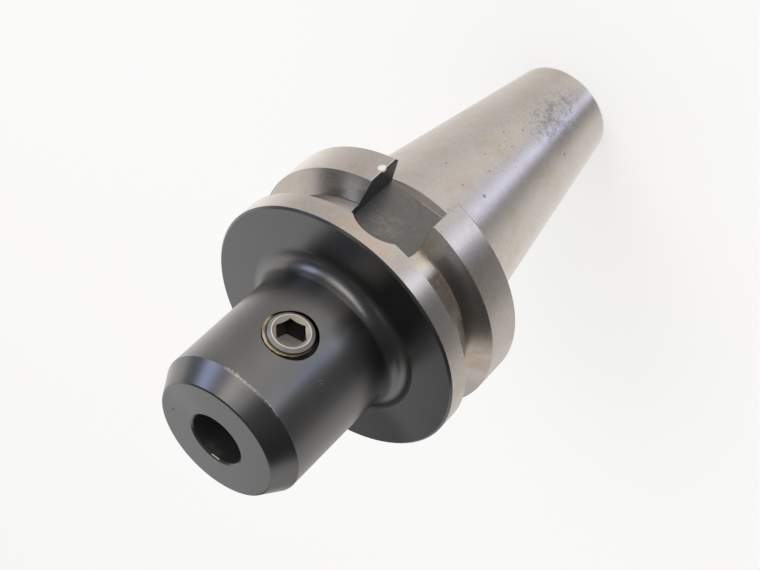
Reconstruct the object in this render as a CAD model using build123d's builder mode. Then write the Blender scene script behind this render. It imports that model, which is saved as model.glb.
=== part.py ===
from build123d import *
import os
from math import asin, cos, radians, sin, tan

# Side lock end mill holder with a 40 size, 7/24 steep taper shank. The origin
# is the centre of the gauge line, +Z runs up the tool axis to the nose, and
# the clamp screw faces -Y, in line with one of the two drive keyways.

# Taper shank
gauge_diameter = 44.45
taper_rate = 7 / 24
shank_length = 65.4
shank_end_break = 0.6

# Unground neck, from just below the gauge line to the flange
neck_start = 0.45
neck_relief = 0.3
neck_slope = 0.2
flange_back = 2.0

# Flange with its gripper groove
flange_diameter = 63.0
flange_front = 27.0
flange_back_chamfer = 1.0
flange_front_break = 0.5
groove_centre = 16.6
groove_opening = 10.0
groove_depth = 5.0
groove_angle = 60.0

# Two drive keyways, milled radially, with the cutter's round at their end
keyway_width = 16.1
keyway_floor = 22.5
keyway_front_wall = 3.3
keyway_break = 0.5

# A knock in one keyway edge of the back ring
knock_height = 6.8
knock_radius = 1.2
knock_depth = 0.35

# Nose
nose_diameter = 35.0
nose_face = 65.0
nose_fillet = 4.0
nose_bevel_width = 3.0
nose_bevel_length = 5.0
nose_face_break = 0.25

# Tool bore, which ends in a drill point over the coolant hole
bore_diameter = 12.7
bore_depth = 50.0
bore_mouth_break = 0.4
coolant_diameter = 8.0
drill_point_angle = 118.0

# Drawbar end: a plain pilot, then the M16 thread at its major diameter
pilot_diameter = 17.0
pilot_depth = 9.0
pilot_mouth_chamfer = 1.0
drawbar_thread_diameter = 16.0
drawbar_thread_depth = 34.0

# M12 clamp screw at its major diameter, backed out until the bore is clear
screw_from_face = 20.0
screw_diameter = 11.8
screw_clearance = 0.1
screw_length = 12.0
screw_tip_gap = 0.25
screw_tip_chamfer = 1.0
screw_crown_length = 1.25
screw_crown_width = 1.8
socket_across_flats = 6.0
socket_depth = 6.2
socket_turn = 12.0
socket_rim_width = 0.2
socket_countersink_angle = 100.0

# Values that follow from these
gauge_radius = gauge_diameter / 2
shank_end_radius = gauge_radius - shank_length * taper_rate / 2
taper_end_radius = gauge_radius - neck_start * taper_rate / 2
neck_radius = gauge_radius - neck_relief
flange_radius = flange_diameter / 2
groove_bottom_radius = flange_radius - groove_depth
groove_flank = groove_depth * tan(radians(groove_angle / 2))
groove_back = groove_centre - groove_opening / 2
groove_front = groove_centre + groove_opening / 2
keyway_end = flange_front - keyway_front_wall
keyway_round = keyway_end - keyway_width / 2
knock_angle = asin(keyway_width / 2 / flange_radius) + keyway_break / flange_radius
knock_centre = flange_radius + knock_radius - knock_depth
nose_radius = nose_diameter / 2
nose_face_radius = nose_radius - nose_bevel_width
bore_radius = bore_diameter / 2
coolant_radius = coolant_diameter / 2
drill_point_slope = 1 / tan(radians(drill_point_angle / 2))
bore_bottom = nose_face - bore_depth
shank_end = -shank_length
pilot_radius = pilot_diameter / 2
drawbar_thread_radius = drawbar_thread_diameter / 2
screw_height = nose_face - screw_from_face
screw_radius = screw_diameter / 2
screw_tip = -(bore_radius + screw_tip_gap)
screw_top = screw_tip - screw_length
socket_mouth_radius = screw_radius - screw_crown_width - socket_rim_width
socket_cone_depth = socket_mouth_radius / tan(radians(socket_countersink_angle / 2))
overrun = 2.0


def on_keyway_edge(edge):
    """True for the straight edges where a keyway wall meets the back ring's outside."""
    middle = edge.center()
    beside = abs(abs(middle.X) - keyway_width / 2) < 0.01
    outside = abs(middle.Y) > (flange_radius + keyway_floor) / 2
    return beside and outside and middle.Z < groove_centre


# Holder body, turned, milled and ground from one bar
with BuildPart() as holder_body:
    with BuildSketch(Plane.XZ) as outline:
        with BuildLine():
            Polyline(
                (0, shank_end),
                (shank_end_radius - shank_end_break, shank_end),
                (shank_end_radius, shank_end + shank_end_break),
                (taper_end_radius, -neck_start),
                (neck_radius, neck_slope - neck_start),
                (neck_radius, flange_back),
                (flange_radius - flange_back_chamfer, flange_back),
                (flange_radius, flange_back + flange_back_chamfer),
                (flange_radius, groove_back),
                (groove_bottom_radius, groove_back + groove_flank),
                (groove_bottom_radius, groove_front - groove_flank),
                (flange_radius, groove_front),
                (flange_radius, flange_front - flange_front_break),
                (flange_radius - flange_front_break, flange_front),
                (nose_radius, flange_front),
                (nose_radius, nose_face - nose_bevel_length),
                (nose_face_radius, nose_face),
                (0, nose_face),
                close=True,
            )
        make_face()
    revolve(axis=Axis.Z)

    # The blend from the nose to the flange, and the worn edge round the nose face
    root = holder_body.edges().filter_by(GeomType.CIRCLE)
    root = root.filter_by(lambda e: abs(e.radius - nose_radius) < 0.01).sort_by(Axis.Z)
    fillet(root[0], nose_fillet)
    rim = holder_body.edges().filter_by(GeomType.CIRCLE).sort_by(Axis.Z)
    chamfer(rim[-1], nose_face_break)

    # Drive keyways on the screw's side and opposite it
    keyway_sides = [
        Plane.XZ.offset(keyway_floor),
        Plane(origin=(0, keyway_floor, 0), x_dir=(-1, 0, 0), z_dir=(0, 1, 0)),
    ]
    for side in keyway_sides:
        with BuildSketch(side):
            with Locations((0, flange_back)):
                Rectangle(keyway_width, keyway_round - flange_back, align=(Align.CENTER, Align.MIN))
            with Locations((0, keyway_round)):
                Circle(keyway_width / 2)
        extrude(amount=flange_radius - keyway_floor + overrun, mode=Mode.SUBTRACT)
    chamfer(holder_body.edges().filter_by(Axis.Z).filter_by(on_keyway_edge), keyway_break)
    knock = (knock_centre * sin(knock_angle), -knock_centre * cos(knock_angle), knock_height)
    with Locations(knock):
        Sphere(knock_radius, mode=Mode.SUBTRACT)

    # Tool bore from the nose, and the coolant hole below it
    with BuildSketch(Plane.XZ):
        with BuildLine():
            Polyline(
                (0, nose_face),
                (bore_radius + bore_mouth_break, nose_face),
                (bore_radius, nose_face - bore_mouth_break),
                (bore_radius, bore_bottom),
                (coolant_radius, bore_bottom - (bore_radius - coolant_radius) * drill_point_slope),
                (coolant_radius, shank_end + drawbar_thread_depth),
                (0, shank_end + drawbar_thread_depth),
                close=True,
            )
        make_face()
    revolve(axis=Axis.Z, mode=Mode.SUBTRACT)

    # Drawbar pilot and thread from the small end
    thread_point = (drawbar_thread_radius - coolant_radius) * drill_point_slope
    with BuildSketch(Plane.XZ):
        with BuildLine():
            Polyline(
                (0, shank_end),
                (pilot_radius + pilot_mouth_chamfer, shank_end),
                (pilot_radius, shank_end + pilot_mouth_chamfer),
                (pilot_radius, shank_end + pilot_depth),
                (drawbar_thread_radius, shank_end + pilot_depth),
                (drawbar_thread_radius, shank_end + drawbar_thread_depth),
                (coolant_radius, shank_end + drawbar_thread_depth + thread_point),
                (0, shank_end + drawbar_thread_depth + thread_point),
                close=True,
            )
        make_face()
    revolve(axis=Axis.Z, mode=Mode.SUBTRACT)

    # Tapped hole for the clamp screw, from the bore out through the nose wall
    with BuildSketch(Plane.XZ):
        with Locations((0, screw_height)):
            Circle(screw_radius + screw_clearance)
    extrude(amount=nose_radius + overrun, mode=Mode.SUBTRACT)

# Clamp screw, turned about its own axis, with a hexagon socket in its crown
with BuildPart() as clamp_screw:
    with BuildSketch(Plane.XY.offset(screw_height)):
        with BuildLine():
            Polyline(
                (0, screw_tip),
                (screw_radius - screw_tip_chamfer, screw_tip),
                (screw_radius, screw_tip - screw_tip_chamfer),
                (screw_radius, screw_top + screw_crown_length),
                (screw_radius - screw_crown_width, screw_top),
                (socket_mouth_radius, screw_top),
                (0, screw_top + socket_cone_depth),
                close=True,
            )
        make_face()
    revolve(axis=Axis((0, 0, screw_height), (0, 1, 0)))
    with BuildSketch(Plane.XZ.offset(-screw_top)):
        with Locations((0, screw_height)):
            RegularPolygon(socket_across_flats / 2, 6, major_radius=False, rotation=socket_turn)
    extrude(amount=-socket_depth, mode=Mode.SUBTRACT)

holder_body.part.label = "holder_body"
clamp_screw.part.label = "clamp_screw"

os.makedirs("parts", exist_ok=True)
export_step(holder_body.part, "parts/holder_body.step")
export_step(clamp_screw.part, "parts/clamp_screw.step")
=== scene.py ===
"""Looks of a side lock end mill holder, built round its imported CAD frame.

The holder's body keeps its CAD shape and takes a finish that follows where each point lies:
black oxide from the flange face to the nose, ground steel on the taper and the two rings,
and dark milled keyways. The clamp screw is replaced by one with a cut thread and a broached
socket, and the two tapped holes are lined with their threads.
"""

import math
from collections import namedtuple

import bmesh
import bpy
import numpy as np
from mathutils import Matrix, Vector


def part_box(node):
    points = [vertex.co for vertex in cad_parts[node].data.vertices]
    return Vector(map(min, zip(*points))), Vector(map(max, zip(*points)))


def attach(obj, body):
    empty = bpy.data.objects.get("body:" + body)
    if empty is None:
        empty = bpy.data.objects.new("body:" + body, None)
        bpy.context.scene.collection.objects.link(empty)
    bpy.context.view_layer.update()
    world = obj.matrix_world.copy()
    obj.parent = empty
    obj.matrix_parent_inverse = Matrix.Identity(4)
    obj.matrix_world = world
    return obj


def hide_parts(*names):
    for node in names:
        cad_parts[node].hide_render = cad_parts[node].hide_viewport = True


bl_info = {
    "name": "Side lock end mill holder",
    "version": (1, 0, 0),
    "blender": (4, 5, 0),
    "location": "3D View > Sidebar > Tool Holder",
    "description": "Threads, finishes and studio of a 40 size side lock end mill holder",
    "category": "Object",
}

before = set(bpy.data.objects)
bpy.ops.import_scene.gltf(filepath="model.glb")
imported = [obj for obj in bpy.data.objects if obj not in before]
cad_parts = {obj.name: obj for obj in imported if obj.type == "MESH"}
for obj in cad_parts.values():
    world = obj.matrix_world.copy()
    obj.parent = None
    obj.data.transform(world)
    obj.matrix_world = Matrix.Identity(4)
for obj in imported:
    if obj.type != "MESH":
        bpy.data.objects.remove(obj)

MM = 0.001

# The taper's radius at the gauge line, in millimetres, and what it gains for each unit up
GAUGE_RADIUS = 22.225
TAPER_SLOPE = 7.0 / 48.0

# The tool bore, which the clamp screw's hole opens into
BORE_RADIUS = 6.35 * MM

# Columns of a thread's grid, and how far a lining's back reaches into the wall behind it
COLUMNS = 144
SKIN = 0.02 * MM

# In a mesh: doubles are merged up to this distance, edges shorter than the second are taken
# out, and edges sharper than the angle stay sharp
DOUBLES = 0.002 * MM
SHORTEST = 0.001 * MM
SHARP = math.radians(30.0)

# Depth of the bumps on the body, and on the screw and the threads
BODY_BUMP = 0.004 * MM
THREAD_BUMP = 0.01 * MM

# Reflections of single patches and marks, in linear red, green and blue
RUSTY = (0.26, 0.25, 0.26)
BROWN_OIL = (0.46, 0.35, 0.24)
# Painted bluish highlight on the groove's back flank
PAINTED_HIGHLIGHT_BAND = (0.57, 0.62, 0.72)
# Painted shade on the groove's front side
SHADED_SIDE = (0.12, 0.11, 0.10)
FLECK = (0.15, 0.11, 0.06)
CORNER_GOLDEN_LINE = (0.36, 0.29, 0.16)
OXIDE_CLOUD = (0.200, 0.193, 0.186)
OXIDE_BROWN = (0.245, 0.225, 0.195)
# Painted bluish reflection streak on the nose
OXIDE_PAINTED_BLUE_STREAK = (0.172, 0.180, 0.222)
DENT = (0.03, 0.03, 0.03)
MILLED_CLOUD = (0.215, 0.21, 0.20)
MILLED_BROWN = (0.29, 0.26, 0.22)
RING_BROWN = (0.52, 0.43, 0.35)
# Keyway edges: worn, and partly a painted highlight
WORN_EDGE_AND_HIGHLIGHT = (0.72, 0.68, 0.60)
# A knock's bare metal, with a painted glint
KNOCK_GLINT = (0.92, 0.90, 0.84)
NECK_STEP = (0.30, 0.265, 0.24)
BORE_OIL = (0.055, 0.039, 0.022)
BORE_GLINT = (0.50, 0.48, 0.44)
# Painted highlight round the screw's socket
CROWN_PAINTED_HIGHLIGHT = (0.80, 0.76, 0.70)
FLOOR_PATCH = (0.94, 0.915, 0.90)

# What the camera sees behind the holder: the floor's own light and the world
PAPER_GLOW = (1.0, 0.995, 0.99)
WHITE = (1.0, 1.0, 1.0)

BODY_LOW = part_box("holder_body")[0]
SCREW_LOW, SCREW_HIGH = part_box("clamp_screw")


def taper_radius(height):
    """Radius of the 7/24 taper at a height, both in millimetres."""
    return GAUGE_RADIUS + height * TAPER_SLOPE


def length(name, millimetres, description):
    """A property for a length, given in millimetres and kept in metres."""
    return bpy.props.FloatProperty(
        name=name, description=description, default=millimetres * MM, unit="LENGTH", precision=5
    )


def share(name, value, description):
    """A property for a part of a whole."""
    return bpy.props.FloatProperty(
        name=name, description=description, default=value, min=0.0, max=1.0, subtype="FACTOR"
    )


def angle(name, degrees, description):
    """A property for an angle, given in degrees."""
    return bpy.props.FloatProperty(
        name=name, description=description, default=math.radians(degrees), subtype="ANGLE"
    )


def colour(name, rgb, description):
    """A property for a colour, in linear red, green and blue."""
    return bpy.props.FloatVectorProperty(
        name=name, description=description, default=rgb, size=3, min=0.0, max=1.0, subtype="COLOR"
    )


def number(name, value, description):
    """A property for a plain number."""
    return bpy.props.FloatProperty(name=name, description=description, default=value)


class HolderSettings(bpy.types.PropertyGroup):
    """Where the finishes of the holder's body meet, and their colours."""

    oxide_start: length("Oxide start", 26.52, "Height above which the body is blackened")
    groove_back: length("Groove back", 11.6, "Height at which the gripper groove starts")
    groove_front: length("Groove front", 21.5, "Height up to which the groove is dirty")
    groove_bottom: length("Groove bottom", 26.5, "Radius of the groove's bottom")
    flange_back: length("Flange back", 2.0, "Height of the flange's back face")
    flange_radius: length("Flange radius", 31.5, "Radius of the flange's rings")
    neck_start: length("Neck start", -0.43, "Height at which the unground neck starts")
    neck_radius: length("Neck radius", 22.2, "Radius that bounds the unground neck")
    keyway_floor: length("Keyway floor", 22.5, "Distance of a keyway's floor from the axis")
    keyway_width: length("Keyway width", 16.1, "Width of a drive keyway")
    keyway_break: length("Keyway break", 0.5, "Width of the break at a keyway's edges")
    keyway_end: length("Keyway end", 23.7, "Height at which a keyway's round ends")
    bore_radius: length("Bore radius", 6.45, "Radius inside which the bore's finish shows")
    pilot_radius: length("Pilot radius", 8.6, "Radius inside which the drawbar hole shows")
    pilot_top: length("Pilot top", -30.0, "Height at which the drawbar hole ends")
    nose_radius: length("Nose radius", 17.5, "Radius of the nose")
    bevel_start: length("Bevel start", 60.0, "Height at which the nose's bevel starts")
    oxide: colour("Black oxide", (0.186, 0.187, 0.192), "Reflection of the blackened steel")
    ground: colour("Ground steel", (0.54, 0.502, 0.475), "Reflection of the ground steel")
    milled: colour("Milled steel", (0.166, 0.163, 0.160), "Reflection of a keyway's floor")
    wall: colour("Keyway wall", (0.085, 0.08, 0.078), "Reflection of a keyway's walls")
    neck: colour("Neck", (0.25, 0.22, 0.195), "Reflection of the unground neck")
    bore: colour("Bore", (0.085, 0.085, 0.085), "Reflection of the bore")
    stain: colour("Stain", (0.47, 0.405, 0.32), "Reflection of dried oil on ground steel")
    dirt: colour("Dirt", (0.104, 0.080, 0.054), "Colour of the dirt in the groove")
    varnish: colour("Varnish", (0.58, 0.49, 0.34), "Reflection of old varnish in the groove")
    film: colour("Film", (0.165, 0.135, 0.10), "Colour of the dried film on the groove's back side")
    pitted: colour("Pits", (0.17, 0.16, 0.165), "Reflection of the pits in the steel")
    worn: colour("Worn edge", (0.50, 0.46, 0.42), "Reflection of an edge worn bright")


class ClampScrewSettings(bpy.types.PropertyGroup):
    """Thread, crown and socket of the clamp screw."""

    pitch: length("Pitch", 1.75, "Advance of the thread in one turn")
    crest_radius: length("Crest radius", 5.88, "Radius of the thread's crests")
    root_radius: length("Root radius", 4.94, "Radius of the thread's roots")
    crest_share: share("Crest share", 0.125, "Flat crest as a part of the pitch")
    root_share: share("Root share", 0.255, "Flat root as a part of the pitch")
    start: share("Start", 0.74, "Where in its turn the thread starts at the crown")
    crown_radius: length("Crown radius", 4.10, "Radius of the crown's flat")
    crown_slope: number("Crown slope", 1.41, "Radius gained for each unit down the crown")
    tip_chamfer: length("Tip chamfer", 1.0, "Width of the chamfer at the tip")
    socket_width: length("Socket width", 6.0, "Hexagon socket across its flats")
    socket_depth: length("Socket depth", 6.2, "Depth of the hexagon socket")
    socket_turn: angle("Socket turn", 12.0, "Where the first corner of the hexagon lies")
    rim_radius: length("Rim radius", 4.0, "Radius at which the socket's countersink starts")
    countersink: angle("Countersink", 100.0, "Full angle of the socket's countersink")
    steel: colour("Crown steel", (0.27, 0.255, 0.235), "Reflection of the bare crown")
    rim: colour("Socket rim", (0.42, 0.37, 0.31), "Reflection of the socket's countersink")
    socket: colour("Socket", (0.012, 0.012, 0.012), "Reflection of the socket's walls")
    # Painted light: the socket's floor, bright as if lit
    painted_lit_socket_floor: colour("Socket floor", (0.85, 0.80, 0.72), "Reflection of the socket's floor")
    # Brass of the oily thread, also standing in for light on its nose side
    oil: colour("Oily thread", (0.58, 0.45, 0.27), "Reflection of the oily thread")
    # Painted shade: the thread down the hole, on its far side and in its roots
    deep: colour("Deep thread", (0.02, 0.018, 0.016), "Reflection of the thread down in the hole")


class TappedHoleSettings(bpy.types.PropertyGroup):
    """The clamp screw's tapped hole in the nose."""

    crest_radius: length("Crest radius", 5.20, "Radius of the inner crests")
    root_radius: length("Root radius", 5.94, "Radius of the roots, just inside the drilled wall")
    crest_share: share("Crest share", 0.25, "Flat crest as a part of the pitch")
    root_share: share("Root share", 0.262, "Flat root as a part of the pitch")
    mouth_depth: length("Mouth depth", 0.75, "Depth of the cone at the hole's mouth")
    mouth_start: length("Mouth start", 16.7, "Distance of the cone's wide end from the axis")
    steel: colour("Hole steel", (0.07, 0.07, 0.066), "Reflection of the blackened thread")


class DrawbarHoleSettings(bpy.types.PropertyGroup):
    """The drawbar's tapped hole in the small end."""

    pitch: length("Pitch", 2.0, "Advance of the thread in one turn")
    crest_radius: length("Crest radius", 6.92, "Radius of the inner crests")
    root_radius: length("Root radius", 7.94, "Radius of the roots, just inside the drilled wall")
    crest_share: share("Crest share", 0.25, "Flat crest as a part of the pitch")
    root_share: share("Root share", 0.161, "Flat root as a part of the pitch")
    low_end: length("Low end", -56.38, "Height at which the thread starts")
    high_end: length("High end", -31.42, "Height at which the thread ends")
    steel: colour("Thread steel", (0.30, 0.27, 0.23), "Reflection of the cut thread")


class StageSettings(bpy.types.PropertyGroup):
    """Floor, world, lamp and camera."""

    floor_radius: length("Floor radius", 3000.0, "Half the width of the floor")
    floor: colour("Floor", (0.93, 0.925, 0.92), "Colour of the pale floor")
    floor_glow: share("Floor glow", 0.66, "How much of the floor's white the camera sees unshaded")
    fill: number("Fill", 0.78, "Strength of the world's even light")
    lamp_strength: number("Lamp strength", 2.6, "Power of the soft lamp in watts")
    lamp_width: length("Lamp width", 420.0, "Width of the soft lamp")
    lamp_distance: length("Lamp distance", 900.0, "Distance of the lamp from the flange")
    room: number("Room", 0.06, "How bright metal sees the dark room above the table")
    room_front: number("Room front", 0.13, "How bright it sees the room's lighter side")
    strip_strength: number("Strip strength", 3.3, "How bright metal sees the strip light")
    camera_azimuth: angle("Azimuth", -16.494, "Camera's turn about the holder")
    camera_elevation: angle("Elevation", 34.294, "Camera's angle above the horizon")
    camera_roll: angle("Roll", -133.695, "Camera's turn about its own line of sight")
    lens: bpy.props.FloatProperty(
        name="Lens", description="Focal length for a 36 mm sensor", default=75.86, unit="CAMERA"
    )
    camera_place: bpy.props.FloatVectorProperty(
        name="Camera place",
        description="Where the camera stands",
        default=(-83.448 * MM, -280.868 * MM, 209.531 * MM),
        size=3,
        subtype="TRANSLATION",
    )


class Value:
    """A socket in a node tree. Arithmetic on it adds Math nodes, so a mask reads as a formula."""

    def __init__(self, graph, socket):
        self.graph = graph
        self.socket = socket

    def math(self, operation, first, second=0.0):
        """One Math node on two values."""
        return self.graph.node("ShaderNodeMath", {"operation": operation}, {0: first, 1: second})

    def __add__(self, other):
        return self.math("ADD", self, other)

    def __radd__(self, other):
        return self.math("ADD", other, self)

    def __sub__(self, other):
        return self.math("SUBTRACT", self, other)

    def __rsub__(self, other):
        return self.math("SUBTRACT", other, self)

    def __mul__(self, other):
        return self.math("MULTIPLY", self, other)

    def __rmul__(self, other):
        return self.math("MULTIPLY", other, self)

    def __truediv__(self, other):
        return self.math("DIVIDE", self, other)

    def __pow__(self, other):
        return self.math("POWER", self, other)

    def __abs__(self):
        return self.math("ABSOLUTE", self)


class Graph:
    """The node tree of a material or of the world."""

    def __init__(self, tree):
        tree.nodes.clear()
        self.tree = tree

    def node(self, kind, settings=None, inputs=None, output=0):
        """Adds a node, sets it up, feeds its sockets and gives one of its outputs."""
        made = self.tree.nodes.new(kind)
        for name, setting in (settings or {}).items():
            if name == "stops":
                self.set_stops(made.color_ramp, setting)
            else:
                setattr(made, name, setting)
        for key, given in (inputs or {}).items():
            if isinstance(given, Value):
                self.tree.links.new(given.socket, made.inputs[key])
            else:
                made.inputs[key].default_value = given
        if not made.outputs:
            return made
        return Value(self, made.outputs[output])

    def set_stops(self, ramp, stops):
        """Gives a ramp its stops, each a position and a colour."""
        while len(ramp.elements) < len(stops):
            ramp.elements.new(1.0)
        for element, (position, rgb) in zip(ramp.elements, stops):
            element.position = position
            element.color = (*rgb, 1.0)

    def separate(self, vector):
        """The three parts of a vector."""
        return [self.node("ShaderNodeSeparateXYZ", None, {0: vector}, part) for part in range(3)]

    def larger(self, first, second):
        """The larger of a value and another."""
        return first.math("MAXIMUM", first, second)

    def radius(self, first, second):
        """Distance from the origin of a plane: the root of the sum of two squares."""
        return (first * first + second * second) ** 0.5

    def bearing(self, x, y):
        """Angle about the axis, in degrees from -180 to 180."""
        turn = self.node("ShaderNodeMath", {"operation": "ARCTAN2"}, {0: y, 1: x})
        return turn * math.degrees(1.0)

    def rise(self, value, low, high):
        """Goes smoothly from 0 at low to 1 at high."""
        settings = {"interpolation_type": "SMOOTHSTEP"}
        return self.node("ShaderNodeMapRange", settings, {0: value, 1: low, 2: high})

    def fall(self, value, low, high):
        """Goes smoothly from 1 at low to 0 at high."""
        return 1.0 - self.rise(value, low, high)

    def between(self, value, low, high, soft):
        """Is 1 from low to high and falls smoothly to 0 over soft outside them."""
        return self.rise(value, low - soft, low) * self.fall(value, high, high + soft)

    def vector(self, operation, first, second):
        """One Vector Math node on two vectors."""
        return self.node("ShaderNodeVectorMath", {"operation": operation}, {0: first, 1: second})

    def dot(self, first, second):
        """The dot product of two vectors."""
        settings = {"operation": "DOT_PRODUCT"}
        return self.node("ShaderNodeVectorMath", settings, {0: first, 1: second}, 1)

    def distance(self, first, second):
        """The distance between two points."""
        settings = {"operation": "DISTANCE"}
        return self.node("ShaderNodeVectorMath", settings, {0: first, 1: second}, 1)

    def noise(self, vector, scale, detail, roughness):
        """Smooth noise, from 0 to 1 about a mean of a half."""
        inputs = {"Vector": vector, "Scale": scale, "Detail": detail, "Roughness": roughness}
        return self.node("ShaderNodeTexNoise", None, inputs)

    def mix(self, factor, first, second):
        """A colour from first, at factor 0, to second, at factor 1."""
        first = first if isinstance(first, Value) else (*first, 1.0)
        second = second if isinstance(second, Value) else (*second, 1.0)
        inputs = {0: factor, 6: first, 7: second}
        return self.node("ShaderNodeMix", {"data_type": "RGBA"}, inputs, 2)

    def blend(self, factor, first, second):
        """A number from first, at factor 0, to second, at factor 1."""
        inputs = {0: factor, 2: first, 3: second}
        return self.node("ShaderNodeMix", {"data_type": "FLOAT"}, inputs)

    def scaled(self, tint, factor):
        """A colour made lighter or darker by a factor."""
        return self.node("ShaderNodeVectorMath", {"operation": "SCALE"}, {0: tint, "Scale": factor})

    def metal(self, finish, depth):
        """Makes a finish the material's metal, with its height as a bump that is depth deep."""
        inputs = {"Strength": 1.0, "Distance": depth, "Height": finish.height}
        normal = self.node("ShaderNodeBump", None, inputs)
        inputs = {
            "Base Color": finish.tint,
            "Metallic": finish.metallic,
            "Roughness": finish.roughness,
            "Normal": normal,
        }
        shader = self.node("ShaderNodeBsdfPrincipled", None, inputs)
        self.node("ShaderNodeOutputMaterial", None, {"Surface": shader})


Finish = namedtuple("Finish", "tint roughness height metallic", defaults=(1.0,))


class Point:
    """Where a shaded point lies on its piece, in millimetres: its place, the parts of that, its
    distance from the tool axis and its bearing about it in degrees."""

    def __init__(self, graph):
        self.place = graph.scaled(graph.node("ShaderNodeTexCoord", output=3), 1.0 / MM)
        self.x, self.y, self.z = graph.separate(self.place)
        self.r = graph.radius(self.x, self.y)
        self.bearing = graph.bearing(self.x, self.y)


def new_material(name):
    """An empty material, its node tree and the point that it shades."""
    material = bpy.data.materials.new(name)
    material.use_nodes = True
    graph = Graph(material.node_tree)
    return material, graph, Point(graph)


def put_material(piece, material):
    """Gives every slot of a piece the same material."""
    if not piece.material_slots:
        piece.data.materials.append(material)
    for slot in piece.material_slots:
        slot.material = material


def lay_over(graph, finish, layers):
    """Lays finishes over a first one, in turn: each layer covers where its mask is 1."""
    for mask, over in layers:
        finish = Finish(
            graph.mix(mask, finish.tint, over.tint),
            graph.blend(mask, finish.roughness, over.roughness),
            graph.blend(mask, finish.height, over.height),
            graph.blend(mask, finish.metallic, over.metallic),
        )
    return finish


# Soft patches of the body: the bearing of the middle in degrees and its height in millimetres,
# then half the size of the patch in each
PATCHES = {
    "rust": (-107.0, -50.0, 32.0, 16.0),
    "sparse pits": (-92.0, -32.0, 30.0, 20.0),
    "ring pits": (-112.0, 8.0, 16.0, 7.0),
    "varnish": (-111.0, 16.0, 11.0, 5.0),
    "film": (-106.0, 12.9, 13.0, 3.6),
    "brown oxide": (-99.0, 33.5, 13.0, 5.0),
    # Painted bluish reflection streak on the nose
    "cool oxide": (-117.0, 46.0, 7.0, 9.0),
    # Painted darker reflections by the nose's root and further up the nose
    "dull root": (-115.0, 34.5, 14.0, 6.0),
    "dull nose": (-116.0, 50.0, 10.0, 15.0),
    # Painted lighter reflection by the nose's end
    "painted_sheen": (-30.0, 57.0, 42.0, 14.0),
    "keyway brown": (-86.0, 12.5, 13.0, 5.5),
    "ring brown": (-88.0, 25.0, 26.0, 6.0),
    "bore oil": (84.0, 63.7, 24.0, 1.5),
}


def patch(graph, point, name):
    """A soft round patch on the body: 1 at its middle, 0 past its half sizes."""
    bearing, height, half_turn, half_height = PATCHES[name]
    across = (point.bearing - bearing) / half_turn
    along = (point.z - height) / half_height
    return graph.fall(graph.radius(across, along), 0.25, 1.0)


def on_body(bearing, height, radius):
    """The point of the body at a bearing, a height and a radius, in millimetres."""
    turn = math.radians(bearing)
    return (radius * math.cos(turn), radius * math.sin(turn), height)


def spot(graph, point, centre, size):
    """A small round mark with a soft edge."""
    return graph.fall(graph.distance(point.place, centre), size * 0.45, size)


def stroke(graph, point, start, end, width):
    """A scratch: 1 near the line from start to end, found by the nearest point of that line."""
    line = [last - first for first, last in zip(start, end)]
    length_squared = sum(part * part for part in line)
    share_along = graph.dot(graph.vector("SUBTRACT", point.place, start), line) / length_squared
    share_along = graph.node("ShaderNodeClamp", None, {0: share_along})
    nearest = graph.vector("ADD", graph.scaled(line, share_along), start)
    return graph.fall(graph.distance(point.place, nearest), width * 0.3, width)


def turning_lines(graph, point, fine):
    """Lines round the axis: noise that changes fast along the axis and slowly round it."""
    return graph.noise(graph.vector("MULTIPLY", point.place, (0.06, 0.06, fine)), 1.0, 3.0, 0.6)


def pits(graph, point, scale, density):
    """Corrosion pits: one in each cell of a Voronoi pattern whose own random number is under
    the density."""
    inputs = {"Vector": point.place, "Scale": scale}
    near = graph.node("ShaderNodeTexVoronoi", None, inputs)
    chance = graph.separate(graph.node("ShaderNodeTexVoronoi", None, inputs, 1))[0]
    return graph.fall(near, 0.10, 0.32) * graph.rise(density - chance, 0.0, 0.10)


# Single dark spots on the taper: bearing and height, with the size of each, in millimetres
TAPER_SPOTS = [
    (-92.0, -22.8, 0.30),
    (-103.0, -19.5, 0.35),
    (-98.0, -10.4, 0.30),
    (-103.0, -1.6, 0.30),
    (-112.0, -12.8, 0.6),
    (-137.0, -44.3, 0.5),
    (-80.0, -13.1, 0.35),
    (-88.0, -33.0, 0.35),
    (-97.0, -37.5, 0.4),
]

# Middles of the dent in the nose face and of the knock in a keyway's edge, in millimetres
DENT_PLACE = (11.25, 0.86, 65.0)
KNOCK_PLACE = (8.9, -30.3, 6.9)


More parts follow.
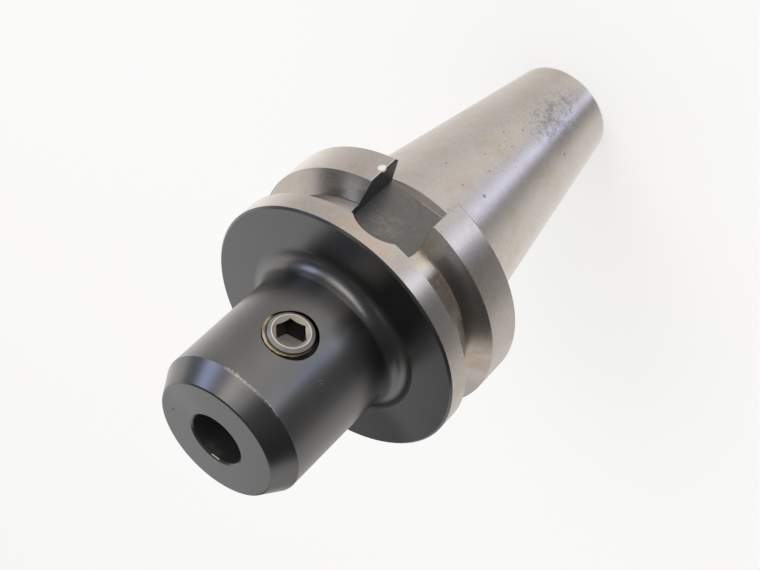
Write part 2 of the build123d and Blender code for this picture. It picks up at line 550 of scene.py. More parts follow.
def ground_finish(graph, settings, point):
    """Ground steel: grinding lines, scuffs, clouds of dried oil, a blotched rusty patch by
    the small end, pits, thickest there and thin on the rings, and the single dark spots."""
    lines = turning_lines(graph, point, 7.0)
    cloud = graph.noise(point.place, 0.14, 4.0, 0.6)
    grain = graph.noise(point.place, 2.2, 4.0, 0.7)
    tint = graph.mix(graph.rise(cloud, 0.45, 0.75) * 0.5, settings.ground, settings.stain)
    tint = graph.scaled(tint, 0.82 + 0.14 * lines + 0.22 * grain)

    rusty = patch(graph, point, "rust")
    sparse = patch(graph, point, "sparse pits")
    ring_patch = patch(graph, point, "ring pits")
    density = 0.02 + 0.70 * rusty + 0.32 * sparse + 0.12 * ring_patch
    blotches = graph.noise(point.place, 0.6, 6.0, 0.75)
    scuffs = graph.noise(graph.vector("MULTIPLY", point.place, (1.0, 1.0, 2.4)), 0.9, 5.0, 0.75)
    tint = graph.scaled(tint, 0.80 + 0.20 * blotches + 0.20 * scuffs)
    blotched = rusty * (0.12 + graph.rise(blotches, 0.45, 0.59) * 0.70)
    tint = graph.mix(blotched, tint, RUSTY)
    marks = graph.larger(pits(graph, point, 1.5, density), pits(graph, point, 2.9, density * 0.9))
    for bearing, height, size in TAPER_SPOTS:
        radius = taper_radius(height)
        marks = graph.larger(marks, spot(graph, point, on_body(bearing, height, radius), size))
    tint = graph.mix(marks * 0.72, tint, settings.pitted)
    roughness = 0.11 + 0.07 * lines + 0.05 * cloud + 0.12 * scuffs + 0.10 * marks + 0.10 * blotched
    return Finish(tint, roughness, lines * 0.5 + grain * 0.45 - marks * 0.8)


def groove_dirt_and_painted_light(graph, settings, point, steel):
    """The groove's old oil, with painted light and shade. On its bottom, to the left of the front
    keyway as the screw faces: varnish, dirt with browner flecks, and a golden line in the corner.
    On its back side: a brown film there and a painted bluish highlight to the right. Its front
    side is darkened with painted shade, and a stretch further round is browned."""
    bottom_radius = settings.groove_bottom / MM
    groove_back = settings.groove_back / MM
    ring_radius = settings.flange_radius / MM
    cloud = graph.noise(point.place, 0.7, 5.0, 0.7)
    speckle = graph.noise(point.place, 1.9, 5.0, 0.75)
    bottom = graph.fall(point.r, bottom_radius + 0.05, bottom_radius + 0.30)
    in_groove = graph.between(point.z, groove_back + 0.05, settings.groove_front / MM, 0.05)
    in_groove = in_groove * graph.fall(point.r, ring_radius - 0.08, ring_radius - 0.02)
    flank = 1.0 - bottom
    varnish = patch(graph, point, "varnish") * bottom * graph.rise(cloud, 0.40, 0.54)
    patches = graph.noise(point.place, 0.3, 3.0, 0.6)
    browned = graph.between(point.bearing, -178.0, -146.0, 6.0) * graph.rise(patches, 0.40, 0.66)
    # Painted bluish highlight across the groove's back flank
    painted_highlight_band = graph.fall(abs(point.bearing + 67.5), 0.0, 8.0) * flank
    painted_highlight_band = painted_highlight_band * graph.rise(point.z, 11.0, 14.6) * (0.3 + 0.9 * speckle)
    # Painted shade on the groove's front side, which faces away from the light
    painted_shade_side = graph.rise(point.z, 18.9, 19.2)
    film = patch(graph, point, "film") * flank * graph.rise(cloud, 0.10, 0.5)
    dirty = graph.rise(point.bearing, -150.0, -137.0)
    dirty = dirty * graph.fall(point.bearing, -122.0, -118.5)
    dirty = dirty * bottom * graph.rise(speckle, 0.32, 0.44)
    flecked = graph.mix(graph.rise(cloud, 0.48, 0.62), settings.dirt, FLECK)
    # A golden line in the corner between the groove's bottom and its back flank
    corner = graph.between(point.z, 14.34, 14.56, 0.08)
    corner = corner * graph.between(point.bearing, -132.0, -103.0, 14.0)
    corner = corner * graph.rise(speckle, 0.38, 0.54)
    layers = [
        (varnish, Finish(settings.varnish, 0.24, cloud)),
        (browned * 0.5, Finish(BROWN_OIL, 0.26, speckle)),
        (painted_highlight_band * 0.8, Finish(PAINTED_HIGHLIGHT_BAND, 0.4, speckle, 0.2)),
        (painted_shade_side * 0.8, Finish(SHADED_SIDE, 0.4, cloud)),
        (film * 0.85, Finish(settings.film, 0.6, cloud, 0.0)),
        (dirty * 0.9, Finish(flecked, 0.6, speckle, 0.1)),
        (corner * 0.5, Finish(CORNER_GOLDEN_LINE, 0.6, speckle, 0.0)),
    ]
    return lay_over(graph, steel, [(in_groove * mask, over) for mask, over in layers])


def oxide_and_painted_reflections(graph, settings, point):
    """Black oxide: satin, with faint turning lines, a brown patch and a painted bluish reflection
    streak on the nose, painted darker reflections by the nose's root, on the flange face and up
    the nose, a painted lighter reflection by its end, a dent's dark dot on the nose face, the
    bevel's edge worn bright with nicks in it, and two short scratches."""
    lines = turning_lines(graph, point, 5.0)
    cloud = graph.noise(point.place, 0.16, 3.0, 0.55)
    grain = graph.noise(point.place, 3.0, 3.0, 0.6)
    tint = graph.mix(graph.rise(cloud, 0.35, 0.7), settings.oxide, OXIDE_CLOUD)
    tint = graph.scaled(tint, 0.92 + 0.16 * grain)
    brown = patch(graph, point, "brown oxide") * graph.rise(cloud, 0.3, 0.6)
    tint = graph.mix(brown * 0.6, tint, OXIDE_BROWN)
    # Painted bluish reflection streak along the nose
    painted_blue_streak = patch(graph, point, "cool oxide")
    tint = graph.mix(painted_blue_streak * 0.8, tint, OXIDE_PAINTED_BLUE_STREAK)
    # Painted darker reflections: by the nose's root, on the flange face and up the nose
    painted_darker_reflection = patch(graph, point, "dull root")
    painted_darker_reflection = graph.larger(painted_darker_reflection * 0.5, spot(graph, point, on_body(125.0, 27.0, 27.0), 15.0) * 0.45)
    painted_darker_reflection = graph.larger(painted_darker_reflection, patch(graph, point, "dull nose") * 0.18)
    # Painted lighter reflection by the nose's end
    painted_sheen = patch(graph, point, "painted_sheen")
    tint = graph.scaled(tint, 1.0 - painted_darker_reflection + 0.20 * painted_sheen)
    edge = settings.bevel_start / MM
    worn = graph.between(point.z, edge - 0.10, edge + 0.25, 0.15)
    worn = worn * graph.between(point.bearing, -122.0, -76.0, 3.0)
    worn = worn * graph.between(point.r, 16.9, 18.0, 0.1)
    worn = worn * graph.rise(graph.noise(point.place, 1.1, 4.0, 0.7), 0.38, 0.54) * 0.65
    nose = settings.nose_radius / MM
    scratches = [
        ((-78.0, edge - 0.2), (-79.6, edge + 0.7), 0.30),
        ((-81.0, edge - 0.3), (-82.2, edge + 0.2), 0.28),
        ((-84.0, edge - 0.35), (-87.0, edge - 0.1), 0.22),
        ((-125.0, 47.9), (-127.2, 46.9), 0.10),
        ((-127.4, 48.0), (-129.0, 47.1), 0.10),
    ]
    for start, end, width in scratches:
        mark = stroke(graph, point, on_body(*start, nose), on_body(*end, nose), width)
        worn = graph.larger(worn, mark * 0.8)
    tint = graph.mix(worn, tint, settings.worn)
    dot = spot(graph, point, DENT_PLACE, 0.36)
    tint = graph.mix(dot, tint, DENT)
    roughness = 0.25 + 0.04 * lines + 0.04 * cloud + 0.02 * grain
    return Finish(tint, roughness, lines * 0.35 + grain * 0.3 - dot)


def keyway_mask(graph, settings, point, low, spread):
    """Is 1 in both drive keyways up to their walls plus spread. The distance is taken from
    the path of the cutter's axis."""
    half_width = settings.keyway_width / MM / 2
    round_centre = settings.keyway_end / MM - half_width
    floor_height = settings.keyway_floor / MM
    beside = graph.radius(point.x, graph.larger(point.z - round_centre, 0.0))
    mask = graph.fall(beside, half_width + spread + 0.01, half_width + spread + 0.05)
    mask = mask * graph.rise(abs(point.y), floor_height - 0.2, floor_height - 0.1)
    return mask * graph.rise(point.z, low - 0.02, low)


def milled_finish(graph, settings, point):
    """A keyway: dark oily floor with fine mottling, browner by the cutter's run-out, and
    nearly black walls."""
    mottle = graph.noise(point.place, 0.9, 6.0, 0.72)
    marks = graph.noise(graph.vector("MULTIPLY", point.place, (0.6, 0.6, 2.6)), 1.0, 5.0, 0.7)
    floor = graph.mix(graph.rise(mottle, 0.35, 0.75) * 0.5, settings.milled, MILLED_CLOUD)
    brown = patch(graph, point, "keyway brown") * graph.rise(marks, 0.42, 0.62)
    floor = graph.mix(brown * 0.55, floor, MILLED_BROWN)
    floor = graph.scaled(floor, 0.75 + 0.5 * marks)
    floor_height = settings.keyway_floor / MM
    wall = graph.rise(abs(point.y), floor_height + 0.03, floor_height + 0.12)
    tint = graph.mix(wall, floor, settings.wall)
    return Finish(tint, 0.36 + 0.12 * mottle, mottle)


def holder_material(settings):
    """The body's finish, region over region by where the point lies: ground steel and the
    groove's dirt with its painted light, the oxide with its painted reflections, the keyways
    with their bright edges, worn and partly a painted highlight, the knock with a painted glint,
    the unground neck with its step, and the holes."""
    material, graph, point = new_material("holder_finish")
    flange_back = settings.flange_back / MM
    groove_back = settings.groove_back / MM
    oxide_start = settings.oxide_start / MM
    ring_radius = settings.flange_radius / MM

    steel = ground_finish(graph, settings, point)
    browned = patch(graph, point, "ring brown")
    browned = browned * graph.rise(graph.noise(point.place, 0.5, 4.0, 0.6), 0.30, 0.60)
    browned = browned * graph.rise(point.r, ring_radius - 0.1, ring_radius - 0.05)
    tint = graph.mix(browned * 0.7, steel.tint, RING_BROWN)
    finish = Finish(tint, steel.roughness, steel.height)
    finish = groove_dirt_and_painted_light(graph, settings, point, finish)

    blackened = graph.rise(point.z, oxide_start - 0.03, oxide_start + 0.03)

    keyway = keyway_mask(graph, settings, point, flange_back + 0.10, 0.0)
    keyway = keyway * graph.fall(point.z, oxide_start - 0.1, oxide_start)
    broken = keyway_mask(graph, settings, point, flange_back + 0.02, settings.keyway_break / MM)
    broken = broken * graph.fall(point.z, groove_back - 0.1, groove_back)
    broken = broken * graph.rise(point.x * point.y * -1.0, 0.0, 1.0)
    # Pale line on the keyways' outer edges: worn, and partly a painted highlight
    worn_edge_and_highlight = broken * graph.rise(point.r, ring_radius - 0.22, ring_radius - 0.16)
    worn_edge_and_highlight = worn_edge_and_highlight * graph.fall(point.r, ring_radius - 0.02, ring_radius)
    broken = broken * graph.fall(point.r, ring_radius - 0.03, ring_radius - 0.01)
    # A real knock in the edge, painted with a near-white glint
    knock = spot(graph, point, KNOCK_PLACE, 1.3) * graph.rise(point.r, 30.6, 30.8)

    neck_start = settings.neck_start / MM
    neck_radius = settings.neck_radius / MM
    neck = graph.between(point.z, neck_start, flange_back + 0.02, 0.02)
    neck = neck * graph.fall(point.r, neck_radius, neck_radius + 0.05)
    step = graph.between(point.z, neck_start - 0.05, -0.2, 0.04) * neck
    mottle = graph.noise(point.place, 0.8, 4.0, 0.6)
    unground = graph.scaled(settings.neck, 0.8 + 0.4 * mottle)

    bore_radius = settings.bore_radius / MM
    inside = graph.fall(point.r, bore_radius - 0.03, bore_radius)
    pilot_radius = settings.pilot_radius / MM
    pilot = graph.fall(point.r, pilot_radius - 0.03, pilot_radius)
    pilot_top = settings.pilot_top / MM
    pilot = pilot * graph.fall(point.z, pilot_top, pilot_top + 0.1)
    oily = patch(graph, point, "bore oil") * inside * graph.rise(mottle, 0.3, 0.6)
    glint = stroke(graph, point, on_body(88.0, 64.68, 6.42), on_body(104.0, 64.68, 6.42), 0.2)

    layers = [
        (blackened, oxide_and_painted_reflections(graph, settings, point)),
        (graph.larger(keyway, broken), milled_finish(graph, settings, point)),
        (worn_edge_and_highlight, Finish(WORN_EDGE_AND_HIGHLIGHT, 0.5, 0.5, 0.0)),
        (knock * 0.9, Finish(KNOCK_GLINT, 0.4, 0.5, 0.1)),
        (neck, Finish(unground, 0.42, mottle)),
        (step, Finish(NECK_STEP, 0.6, mottle, 0.0)),
        (graph.larger(inside, pilot), Finish(settings.bore, 0.30 + 0.2 * mottle, mottle, 0.75)),
        (oily, Finish(BORE_OIL, 0.5, mottle, 0.0)),
        (glint, Finish(BORE_GLINT, 0.5, 0.5, 0.0)),
    ]
    finish = lay_over(graph, finish, layers)
    graph.metal(finish, BODY_BUMP)
    return material


def thread_radius(turn, thread):
    """Radius of a thread against its place in a turn: level crest, straight flank, level root
    and straight flank again, with the crest's middle at a whole turn."""
    crest, root = thread.crest_radius, thread.root_radius
    flank = (1.0 - thread.crest_share - thread.root_share) / 2
    widths = [0.0, thread.crest_share / 2, flank, thread.root_share, flank, thread.crest_share / 2]
    return np.interp(turn % 1.0, np.cumsum(widths), [crest, crest, root, root, crest, crest])


def thread_grid(start, end, pitch, rows_per_turn):
    """Places on a threaded surface. Each row follows the helix, so it falls by one pitch in
    a turn, and rows that run past an end are held at it. Gives each column's angle, each
    place's distance along the axis and each row's place in the thread's turn."""
    turns = (end - start) / pitch + 1.0
    turn = np.arange(math.ceil(turns * rows_per_turn) + 1)[:, None] / rows_per_turn
    about = np.linspace(0.0, 2.0 * math.pi, COLUMNS + 1)
    along = np.clip(start + (turn - about / (2.0 * math.pi)) * pitch, start, end)
    return about, along, turn


def ring(radius, along, like):
    """One more row of a grid: a radius and a distance along the axis, each one number or one
    for each column."""
    shape = (1, like.shape[1])
    return np.broadcast_to(radius, shape), np.broadcast_to(along, shape)


def surface(name, points):
    """A mesh from a grid of points: one quad for each cell, with doubles merged, faces turned
    outwards and all but the sharp edges shaded smooth."""
    rows, columns = points.shape[:2]
    index = np.arange(rows * columns).reshape(rows, columns)
    quads = np.stack([index[:-1, :-1], index[:-1, 1:], index[1:, 1:], index[1:, :-1]], axis=-1)
    mesh = bpy.data.meshes.new(name)
    mesh.from_pydata(points.reshape(-1, 3), [], quads.reshape(-1, 4))
    work = bmesh.new()
    work.from_mesh(mesh)
    bmesh.ops.remove_doubles(work, verts=work.verts, dist=DOUBLES)
    bmesh.ops.dissolve_degenerate(work, edges=work.edges, dist=SHORTEST)
    bmesh.ops.recalc_face_normals(work, faces=work.faces)
    work.to_mesh(mesh)
    work.free()
    mesh.polygons.foreach_set("use_smooth", np.ones(len(mesh.polygons), dtype=bool))
    mesh.set_sharp_from_angle(angle=SHARP)
    piece = bpy.data.objects.new(name, mesh)
    bpy.context.scene.collection.objects.link(piece)
    return piece


class HOLDER_OT_body_finish(bpy.types.Operator):
    """Give the holder's body its finishes"""

    bl_idname = "tool_holder.body_finish"
    bl_label = "Body Finish"

    def execute(self, context):
        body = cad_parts["holder_body"]
        put_material(body, holder_material(context.scene.holder))
        return {"FINISHED"}


def screw_material(settings, height, top):
    """The screw's finish: bare turned crown with a painted highlight line round the socket,
    browner countersink, dark socket whose floor is painted bright as if lit, and a thread that
    painted shade darkens down the hole, on the side away from the nose face and in its roots,
    and that is brass-coloured near the crown on the nose face's side, from oil and painted light.
    The crown and the countersink are partly matt."""
    material, graph, point = new_material("screw_finish")
    above = point.z - height / MM
    out = graph.radius(point.x, above)
    depth = point.y - top / MM
    scratches = graph.noise(point.place, 3.0, 5.0, 0.7)
    rim_radius = settings.rim_radius / MM
    socket_end = settings.socket_depth / MM
    cone_depth = (rim_radius - out) / math.tan(settings.countersink / 2)
    past_cone = graph.rise(depth - cone_depth, 0.02, 0.08)

    # Painted light and shade on the thread: brass on the nose face's side, dark down the hole, on
    # the far side and in the roots
    lit_nose_side = graph.rise(above, -1.2, 0.6)
    tint = graph.mix(graph.rise(depth, 1.05, 1.75), settings.oil, settings.deep)
    tint = graph.mix(lit_nose_side, settings.deep, tint)
    tint = graph.mix(graph.rise(out, 5.0, 5.6), settings.deep, tint)
    crown = graph.fall(out, 4.90, 4.98) * graph.fall(depth, 0.60, 0.70)
    tint = graph.mix(crown, tint, settings.steel)
    inputs = {"W": out * 5.0, "Scale": 1.0, "Detail": 2.0}
    turned = graph.node("ShaderNodeTexNoise", {"noise_dimensions": "1D"}, inputs)
    tint = graph.scaled(tint, 0.55 + 0.90 * turned)
    # Painted highlight line round the socket's rim
    line = graph.between(out, rim_radius - 0.02, rim_radius + 0.14, 0.05) * crown
    tint = graph.mix(line, tint, CROWN_PAINTED_HIGHLIGHT)
    inside = graph.fall(out, rim_radius - 0.12, rim_radius - 0.04)
    inside = inside * graph.fall(depth, socket_end, socket_end + 0.5)
    tint = graph.mix(inside, tint, settings.rim)
    wall = inside * past_cone
    tint = graph.mix(wall, tint, settings.socket)
    # The socket's floor, painted bright as if lit
    floor = wall * graph.rise(depth, socket_end - 0.06, socket_end - 0.02)
    tint = graph.mix(floor, tint, settings.painted_lit_socket_floor)
    tint = graph.scaled(tint, 0.60 + 0.80 * scratches)
    roughness = graph.blend(floor, 0.24 + 0.22 * scratches, 0.62)
    cone = inside * (1.0 - past_cone)
    matt = graph.larger(cone * 0.75, crown * 0.55)
    graph.metal(Finish(tint, roughness, scratches, 1.0 - matt), THREAD_BUMP)
    return material


class HOLDER_OT_clamp_screw(bpy.types.Operator):
    """Make the clamp screw with its thread and socket"""

    bl_idname = "tool_holder.clamp_screw"
    bl_label = "Clamp Screw"

    def execute(self, context):
        settings = context.scene.clamp_screw
        height = (SCREW_LOW.z + SCREW_HIGH.z) / 2
        top = SCREW_LOW.y
        tip = SCREW_HIGH.y
        about, along, turn = thread_grid(top, tip, settings.pitch, rows_per_turn=24)
        radius = thread_radius(turn - settings.start, settings)
        crown = settings.crown_radius + (along - top) * settings.crown_slope
        end = settings.crest_radius - settings.tip_chamfer + (tip - along)
        radius = np.minimum(np.minimum(radius, crown), end)
        from_corner = (about + math.pi / 6) % (math.pi / 3) - math.pi / 6
        from_flat = from_corner - math.pi / 6 * np.sign(from_corner + 1e-9)
        hexagon = settings.socket_width / 2 / np.cos(from_flat)
        mouth = top + (settings.rim_radius - hexagon) / math.tan(settings.countersink / 2)
        floor = top + settings.socket_depth
        rows = [
            ring(0.0, floor, along),
            ring(hexagon, floor, along),
            ring(hexagon, mouth, along),
            ring(settings.rim_radius, top, along),
            (radius, along),
            ring(0.0, tip, along),
        ]
        radius = np.concatenate([row[0] for row in rows])
        along = np.concatenate([row[1] for row in rows])
        turned = about + settings.socket_turn
        across = radius * np.cos(turned)
        points = np.stack([across, along, height + radius * np.sin(turned)], axis=-1)
        screw = surface("clamp_screw_threaded", points)
        put_material(screw, screw_material(settings, height, top))
        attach(screw, "screw")
        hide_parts("clamp_screw")
        return {"FINISHED"}


def thread_material(name, tint):
    """Cut thread: one oily tint, a little lighter and darker in patches."""
    material, graph, point = new_material(name)
    patches = graph.noise(point.place, 1.2, 4.0, 0.6)
    shaded = graph.scaled(tint, 0.7 + 0.6 * patches)
    graph.metal(Finish(shaded, 0.30 + 0.2 * patches, patches), THREAD_BUMP)
    return material


def with_back(radius, along, wall):
    """A lining's grid with three more rows: out to the wall at the thread's end, back along
    the wall, and in again to the first row, so that the lining is closed."""
    wall = np.full_like(radius[:1], wall)
    radius = np.concatenate([radius, wall, wall, radius[:1]])
    return radius, np.concatenate([along, along[-1:], along[:1], along[:1]])


def bore_cut(along, turned):
    """Radius at which the clamp screw's hole comes out in the bore, a skin inside the steel:
    sqrt(bore**2 - (along + skin)**2) / abs(cos(turned)). It is 0 where the bore isn't reached."""
    inside = np.maximum(BORE_RADIUS**2 - (along + SKIN) ** 2, 0.0)
    return np.sqrt(inside) / np.maximum(np.abs(np.cos(turned)), 0.01)


class HOLDER_OT_clamp_hole_thread(bpy.types.Operator):
    """Line the clamp screw's hole with its thread"""

    bl_idname = "tool_holder.clamp_hole_thread"
    bl_label = "Clamp Hole Thread"

    def execute(self, context):
        settings = context.scene.tapped_hole
        screw = context.scene.clamp_screw
        holder = context.scene.holder
        height = (SCREW_LOW.z + SCREW_HIGH.z) / 2
        top = SCREW_LOW.y
        outer = -holder.nose_radius
        about, along, turn = thread_grid(outer, 0.0, screw.pitch, rows_per_turn=24)
        radius = thread_radius(turn - screw.start - (top - outer) / screw.pitch + 0.5, settings)
        mouth_slope = (settings.root_radius - settings.crest_radius) / settings.mouth_depth
        cone = settings.root_radius - (along + settings.mouth_start) * mouth_slope
        radius = np.maximum(radius, np.minimum(cone, settings.root_radius))
        turned = about + screw.socket_turn
        radius = np.maximum(radius, np.minimum(bore_cut(along, turned), settings.root_radius))
        radius, along = with_back(radius, along, settings.root_radius + SKIN)
        across = radius * np.cos(turned)
        nose = -np.sqrt(holder.nose_radius**2 - across**2)
        bore = -np.sqrt(BORE_RADIUS**2 - across**2) - SKIN
        along = np.clip(along, nose, bore)
        points = np.stack([across, along, height + radius * np.sin(turned)], axis=-1)
        lining = surface("clamp_hole_thread", points)
        put_material(lining, thread_material("clamp_hole_finish", settings.steel))
        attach(lining, "holder")
        return {"FINISHED"}


class HOLDER_OT_drawbar_thread(bpy.types.Operator):
    """Line the drawbar's hole with its thread"""

    bl_idname = "tool_holder.drawbar_thread"
    bl_label = "Drawbar Thread"

    def execute(self, context):
        settings = context.scene.drawbar_hole
        low, high = settings.low_end, settings.high_end
        about, along, turn = thread_grid(low, high, settings.pitch, rows_per_turn=20)
        radius = thread_radius(turn + 0.5, settings)
        radius = np.maximum(radius, settings.root_radius - (along - low))
        radius, along = with_back(radius, along, settings.root_radius + SKIN)
        points = np.stack([radius * np.cos(about), radius * np.sin(about), along], axis=-1)
        lining = surface("drawbar_thread", points)
        put_material(lining, thread_material("drawbar_finish", settings.steel))
        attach(lining, "holder")
        return {"FINISHED"}


# The studio that polished metal shows: the table by bearing in degrees, strength and tint, as
# seen a little below the horizon and as seen from there down. It is pale, with a dark gap and
# a bright strip beside the gap.
WARM = (1.0, 0.97, 0.93)
COOL = (0.91, 0.95, 1.02)
SKY = (0.87, 0.91, 1.13)
BLUE = (0.72, 0.82, 1.18)
PLAIN = (1.0, 1.0, 1.0)
TABLE = [
    (-180.0, 0.22, WARM),
    (-165.0, 0.16, PLAIN),
    (-150.0, 0.16, PLAIN),
    (-140.0, 0.16, PLAIN),
    (-134.5, 0.30, COOL),
    (-129.5, 1.35, COOL),
    (-126.0, 1.90, COOL),
    (-121.0, 1.45, COOL),
    (-112.0, 0.80, PLAIN),
    (-101.0, 0.97, WARM),
    (-85.0, 1.07, WARM),
    (-60.0, 0.92, WARM),
    (-42.0, 0.75, WARM),
    (-15.0, 0.68, WARM),
    (5.0, 0.84, WARM),
    (20.0, 1.08, WARM),
    (45.0, 1.30, WARM),
    (75.0, 0.88, PLAIN),
    (95.0, 0.70, WARM),
    (115.0, 0.80, WARM),
    (137.0, 0.75, WARM),
    (152.0, 0.68, WARM),
    (163.0, 0.56, WARM),
    (172.0, 0.32, WARM),
    (180.0, 0.22, WARM),
]
TABLE_BELOW = [
    (-180.0, 0.78, WARM),
    (-170.0, 0.64, WARM),
    (-160.0, 0.48, PLAIN),
    (-152.0, 0.40, PLAIN),
    (-146.0, 0.43, PLAIN),
    (-139.5, 0.92, SKY),
    (-133.0, 1.45, SKY),
    (-126.0, 1.55, SKY),
    (-119.0, 1.17, SKY),
    (-110.0, 0.94, COOL),
    (-90.0, 1.00, WARM),
    (-70.0, 0.99, WARM),
    (-51.0, 0.90, WARM),
    (-32.0, 0.84, WARM),
    (-14.0, 0.87, WARM),
    (4.0, 0.97, WARM),
    (20.0, 1.00, WARM),
    (53.0, 0.96, WARM),
    (89.0, 0.95, WARM),
    (105.0, 1.03, WARM),
    (138.0, 1.00, WARM),
    (156.0, 0.98, WARM),
    (170.0, 0.92, WARM),
    (180.0, 0.78, WARM),
]
TABLE_SCALE = 2.5

# Soft panels in the dark room above it: bearing, half width, height above the horizon, half
# height and softness in degrees, then strength and tint
PANELS = [
    (-79.0, 18.0, 21.0, 9.0, 9.0, 1.22, WARM),
    (-56.0, 8.0, 43.0, 6.0, 7.0, 0.50, WARM),
    (-50.0, 10.0, 24.0, 4.0, 5.0, 0.70, WARM),
    (-6.0, 16.0, 10.0, 8.0, 8.0, 0.30, COOL),
    (-27.0, 7.0, 18.0, 8.0, 7.0, 2.35, BLUE),
    (37.0, 24.0, 12.0, 22.0, 5.0, 0.94, WARM),
    (70.0, 9.0, 12.0, 15.0, 4.0, 1.08, PLAIN),
    (64.0, 7.0, 28.0, 8.0, 6.0, 0.98, PLAIN),
    (126.0, 24.0, 9.0, 10.0, 8.0, 0.66, PLAIN),
    (121.0, 12.0, 31.0, 9.0, 4.0, 0.88, WARM),
    (2.0, 2.0, 54.0, 2.0, 3.0, 1.30, COOL),
    (-161.0, 4.0, 73.0, 4.0, 4.0, 1.50, COOL),
]

# The strip light: the normal of the great circle that it follows, and its first and last
# bearing and height with their softness, in degrees
STRIP_NORMAL = (0.392, -0.323, -0.861)
STRIP_BEARINGS = (-116.0, -64.0, 9.0)
STRIP_HEIGHTS = (4.0, 33.0, 4.0)

# Where a reflected ray's direction turns from the table into the room, by its rise, and where
# the table is seen from above, by its fall
HORIZON = (-0.30, -0.04)
STEEP = (0.58, 0.68)

# Where the dark room is a little lighter
ROOM_FRONT = (0.40, -0.86, 0.30)

# The point that the soft lamp shines on, and the way from there to the lamp
LAMP_AIM = Vector((0.0, -20.0 * MM, 29.0 * MM))
LAMP_TOWARDS = Vector((0.33, -0.54, 0.77))


def table_ramp(graph, bearing, table):
    """The table's light by bearing."""
    stops = [
        (turn / 360.0 + 0.5, tuple(part * strength / TABLE_SCALE for part in tint))
        for turn, strength, tint in table
    ]
    ramp = graph.node("ShaderNodeValToRGB", {"stops": stops}, {0: bearing / 360.0 + 0.5})
    return graph.scaled(ramp, TABLE_SCALE)


def studio_light(graph, settings):
    """What metal sees: the table, and above it the dark room with its panels and strip."""
    direction = graph.node("ShaderNodeTexCoord")
    x, y, z = graph.separate(direction)
    bearing = graph.bearing(x, y)
    height = graph.node("ShaderNodeMath", {"operation": "ARCSINE"}, {0: z}) * math.degrees(1.0)
    table = table_ramp(graph, bearing, TABLE)
    below = table_ramp(graph, bearing, TABLE_BELOW)
    table = graph.mix(graph.rise(-1.0 * z, *STEEP), table, below)

    front = graph.rise(graph.dot(direction, ROOM_FRONT), -0.3, 0.6)
    room = graph.mix(front, (settings.room,) * 3, (settings.room_front,) * 3)
    for middle, half_width, level, half_height, soft, strength, tint in PANELS:
        mask = graph.between(bearing, middle - half_width, middle + half_width, soft)
        mask = mask * graph.between(height, level - half_height, level + half_height, soft)
        room = graph.mix(mask, room, tuple(part * strength for part in tint))
    beside = abs(graph.dot(direction, STRIP_NORMAL))
    strip = graph.fall(beside, 0.03, 0.11) * graph.between(bearing, *STRIP_BEARINGS)
    strip = strip * graph.between(height, *STRIP_HEIGHTS)
    room = graph.mix(strip, room, tuple(part * settings.strip_strength for part in WARM))
    return graph.mix(graph.rise(z, *HORIZON), table, room)


def ray_kinds(graph):
    """Whether the ray comes from the camera, and whether a reflection sent it."""
    return [graph.node("ShaderNodeLightPath", output=output) for output in (0, 3)]


def paint_world(settings):
    """White to the camera, an even fill on the floor, and the studio in the metal."""
    world = bpy.data.worlds.new("studio")
    bpy.context.scene.world = world
    world.use_nodes = True
    graph = Graph(world.node_tree)
    is_camera, is_glossy = ray_kinds(graph)
    seen = graph.mix(is_glossy, (settings.fill,) * 3, studio_light(graph, settings))
    seen = graph.mix(is_camera, seen, WHITE)
    shader = graph.node("ShaderNodeBackground", None, {"Color": seen, "Strength": 1.0})
    graph.node("ShaderNodeOutputWorld", None, {"Surface": shader})


def floor_material(settings):
    """Pale floor that keeps the holder's shadow, and that metal sees through to the studio."""
    material, graph, point = new_material("pale_floor")
    blotches = graph.noise(point.place, 0.012, 3.0, 0.5)
    tint = graph.mix(graph.rise(blotches, 0.45, 0.8), settings.floor, FLOOR_PATCH)
    paper = graph.node("ShaderNodeBsdfDiffuse", None, {"Color": tint})
    glow = graph.node("ShaderNodeEmission", None, {"Color": (*PAPER_GLOW, 1.0)})
    clear = graph.node("ShaderNodeBsdfTransparent")
    is_camera, is_glossy = ray_kinds(graph)
    factor = is_camera * settings.floor_glow
    shader = graph.node("ShaderNodeMixShader", None, {0: factor, 1: paper, 2: glow})
    shader = graph.node("ShaderNodeMixShader", None, {0: is_glossy, 1: shader, 2: clear})
    graph.node("ShaderNodeOutputMaterial", None, {"Surface": shader})
    return material


def add_camera(settings):
    """The camera, from its azimuth, elevation and roll."""
    azimuth = settings.camera_azimuth
    elevation = settings.camera_elevation
    roll = settings.camera_roll
    back = Vector(
        (
            math.sin(azimuth) * math.cos(elevation),
            -math.cos(azimuth) * math.cos(elevation),
            math.sin(elevation),
        )
    )
    level = Vector((math.cos(azimuth), math.sin(azimuth), 0.0))
    upright = back.cross(level)
    right = level * math.cos(roll) + upright * math.sin(roll)
    up = back.cross(right)
    camera = bpy.data.objects.new("camera", bpy.data.cameras.new("camera"))
    camera.data.lens = settings.lens
    camera.data.clip_start = 0.01
    turned = Matrix((right, up, back)).transposed().to_4x4()
    camera.matrix_world = Matrix.Translation(settings.camera_place) @ turned
    bpy.context.scene.collection.objects.link(camera)
    bpy.context.scene.camera = camera


def add_lamp(settings):
    """The soft lamp over the clamp screw's side, which metal doesn't show."""
    light = bpy.data.lights.new("soft_lamp", "AREA")
    light.shape = "SQUARE"
    light.size = settings.lamp_width
    light.energy = settings.lamp_strength
    lamp = bpy.data.objects.new("soft_lamp", light)
    towards = LAMP_TOWARDS.normalized()
    turned = towards.to_track_quat("Z", "Y").to_matrix().to_4x4()
    lamp.matrix_world = Matrix.Translation(LAMP_AIM + towards * settings.lamp_distance) @ turned
    lamp.visible_glossy = False
    bpy.context.scene.collection.objects.link(lamp)


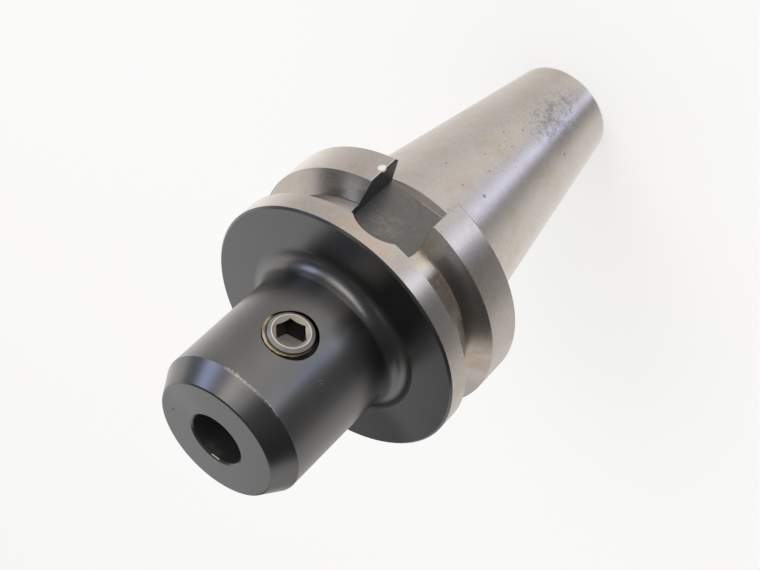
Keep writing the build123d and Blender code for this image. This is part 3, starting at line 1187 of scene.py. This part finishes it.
class HOLDER_OT_stage(bpy.types.Operator):
    """Make the floor, the light and the camera"""

    bl_idname = "tool_holder.stage"
    bl_label = "Stage"

    def execute(self, context):
        settings = context.scene.holder_stage
        ends = [-settings.floor_radius, settings.floor_radius]
        x, y = np.meshgrid(ends, ends)
        floor = surface("floor", np.stack([x, y, np.full_like(x, BODY_LOW.z)], axis=-1))
        if floor.data.polygons[0].normal.z < 0:
            floor.data.flip_normals()
        put_material(floor, floor_material(settings))
        paint_world(settings)
        add_lamp(settings)
        add_camera(settings)
        context.scene.view_settings.view_transform = "Standard"
        return {"FINISHED"}


class HOLDER_PT_panel(bpy.types.Panel):
    """Lists the pieces and the stage"""

    bl_idname = "HOLDER_PT_panel"
    bl_label = "Tool Holder"
    bl_space_type = "VIEW_3D"
    bl_region_type = "UI"
    bl_category = "Tool Holder"

    def draw(self, context):
        for operator in OPERATORS:
            self.layout.operator(operator.bl_idname)


SETTINGS = {
    "holder": HolderSettings,
    "clamp_screw": ClampScrewSettings,
    "tapped_hole": TappedHoleSettings,
    "drawbar_hole": DrawbarHoleSettings,
    "holder_stage": StageSettings,
}
OPERATORS = (
    HOLDER_OT_body_finish,
    HOLDER_OT_clamp_screw,
    HOLDER_OT_clamp_hole_thread,
    HOLDER_OT_drawbar_thread,
    HOLDER_OT_stage,
)


def register():
    """Adds the settings, the operators and the panel to Blender."""
    for name, settings in SETTINGS.items():
        bpy.utils.register_class(settings)
        setattr(bpy.types.Scene, name, bpy.props.PointerProperty(type=settings))
    for operator in OPERATORS:
        bpy.utils.register_class(operator)
    bpy.utils.register_class(HOLDER_PT_panel)


def unregister():
    """Takes them out again."""
    bpy.utils.unregister_class(HOLDER_PT_panel)
    for operator in reversed(OPERATORS):
        bpy.utils.unregister_class(operator)
    for name, settings in SETTINGS.items():
        delattr(bpy.types.Scene, name)
        bpy.utils.unregister_class(settings)


def main():
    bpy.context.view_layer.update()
    register()
    bpy.ops.tool_holder.body_finish()
    bpy.ops.tool_holder.clamp_screw()
    bpy.ops.tool_holder.clamp_hole_thread()
    bpy.ops.tool_holder.drawbar_thread()
    bpy.ops.tool_holder.stage()


if __name__ == "__main__":
    main()
